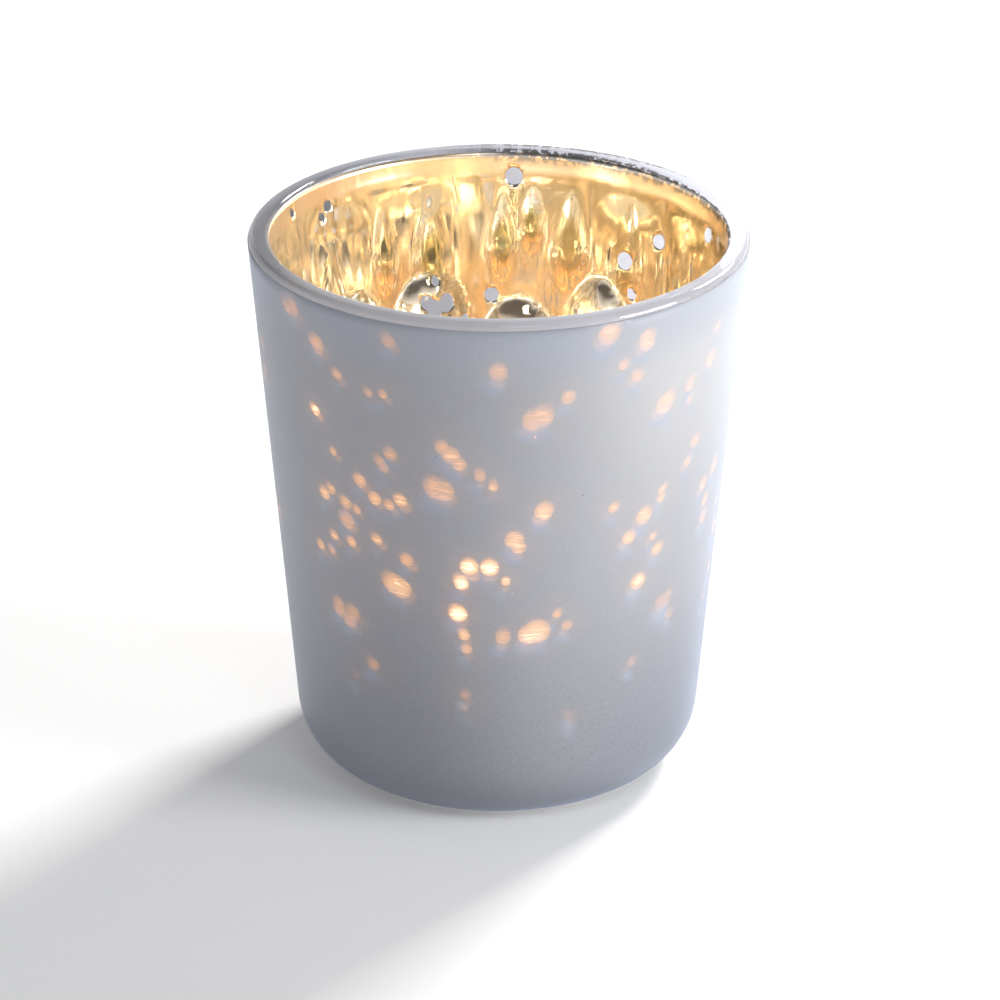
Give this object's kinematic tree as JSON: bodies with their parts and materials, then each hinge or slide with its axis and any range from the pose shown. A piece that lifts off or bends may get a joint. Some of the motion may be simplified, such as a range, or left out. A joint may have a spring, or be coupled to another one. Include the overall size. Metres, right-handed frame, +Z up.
{
  "type": "tealight holder",
  "caption": "Tapered glass tumbler with a frosted outside and a speckled gold mirror inside, holding a lift-out tealight.",
  "frame": {"origin": "centre of the flat base, on the surface that the glass stands on", "axes": "+Z up along the axis of the tumbler; -Y is the front and +X the right"},
  "size_m": [0.0702, 0.0702, 0.08],
  "materials": {
    "clear_glass": "polished",
    "frost": "satin frosted",
    "gold_mirror": "polished",
    "cup_aluminium": "pressed foil",
    "candle_wax": "waxy",
    "wick_cotton": "charred at the tip",
    "tinned_steel": "bright"
  },
  "bodies": {
    "holder": {"glass_tumbler": "clear_glass", "frosted_coat": "frost", "gold_lining": "gold_mirror"},
    "tealight": {"tealight_cup": "cup_aluminium", "wax": "candle_wax", "wick": "wick_cotton", "wick_sustainer": "tinned_steel"}
  },
  "joints": [
    {"name": "tealight_lift", "type": "slide", "parent": "holder", "child": "tealight", "axis": [0, 0, 1], "range_m": [0, 0.08]}
  ]
}
